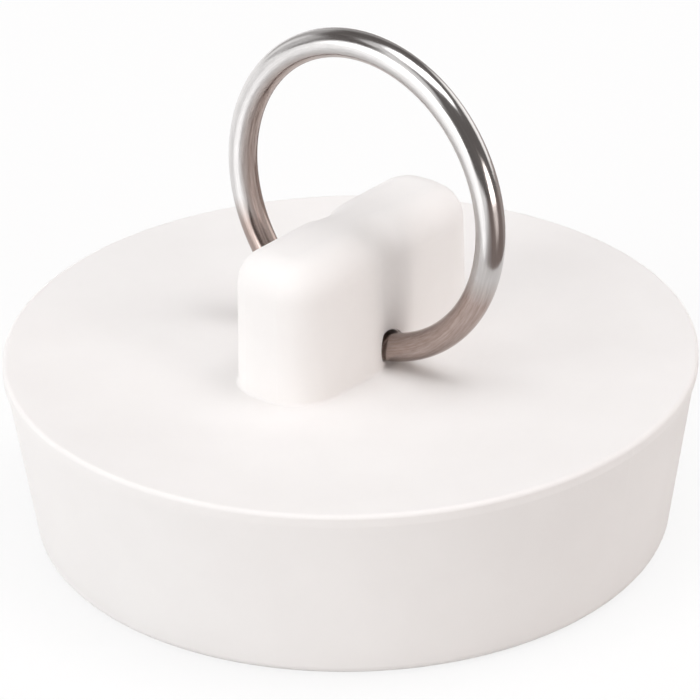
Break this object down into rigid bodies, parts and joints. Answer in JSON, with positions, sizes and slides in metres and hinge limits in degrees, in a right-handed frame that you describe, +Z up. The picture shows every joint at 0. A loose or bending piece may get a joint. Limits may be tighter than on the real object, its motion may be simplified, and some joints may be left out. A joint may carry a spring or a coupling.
{
  "type": "drain stopper",
  "caption": "Tapered round rubber plug that closes a sink drain, with a raised lug and a steel pull ring that swings in the lug's cross hole.",
  "frame": {"origin": "centre of the plug's underside, in the plane of its flat rim", "axes": "+Z up along the plug's own axis, +X along the cross hole, +Y along the length of the lug"},
  "size_m": [0.0508, 0.0508, 0.0381],
  "materials": {
    "stopper_body": "matte, moulded",
    "pull_ring": "bright drawn wire"
  },
  "bodies": {
    "stopper": {"stopper_body": "stopper_body"},
    "ring": {"pull_ring": "pull_ring"}
  },
  "joints": [
    {"name": "ring_swing", "type": "hinge", "parent": "stopper", "child": "ring", "pos_m": [0, 0.00045, 0.01448], "axis": [1, 0, 0], "range_deg": [-86, 90]}
  ]
}
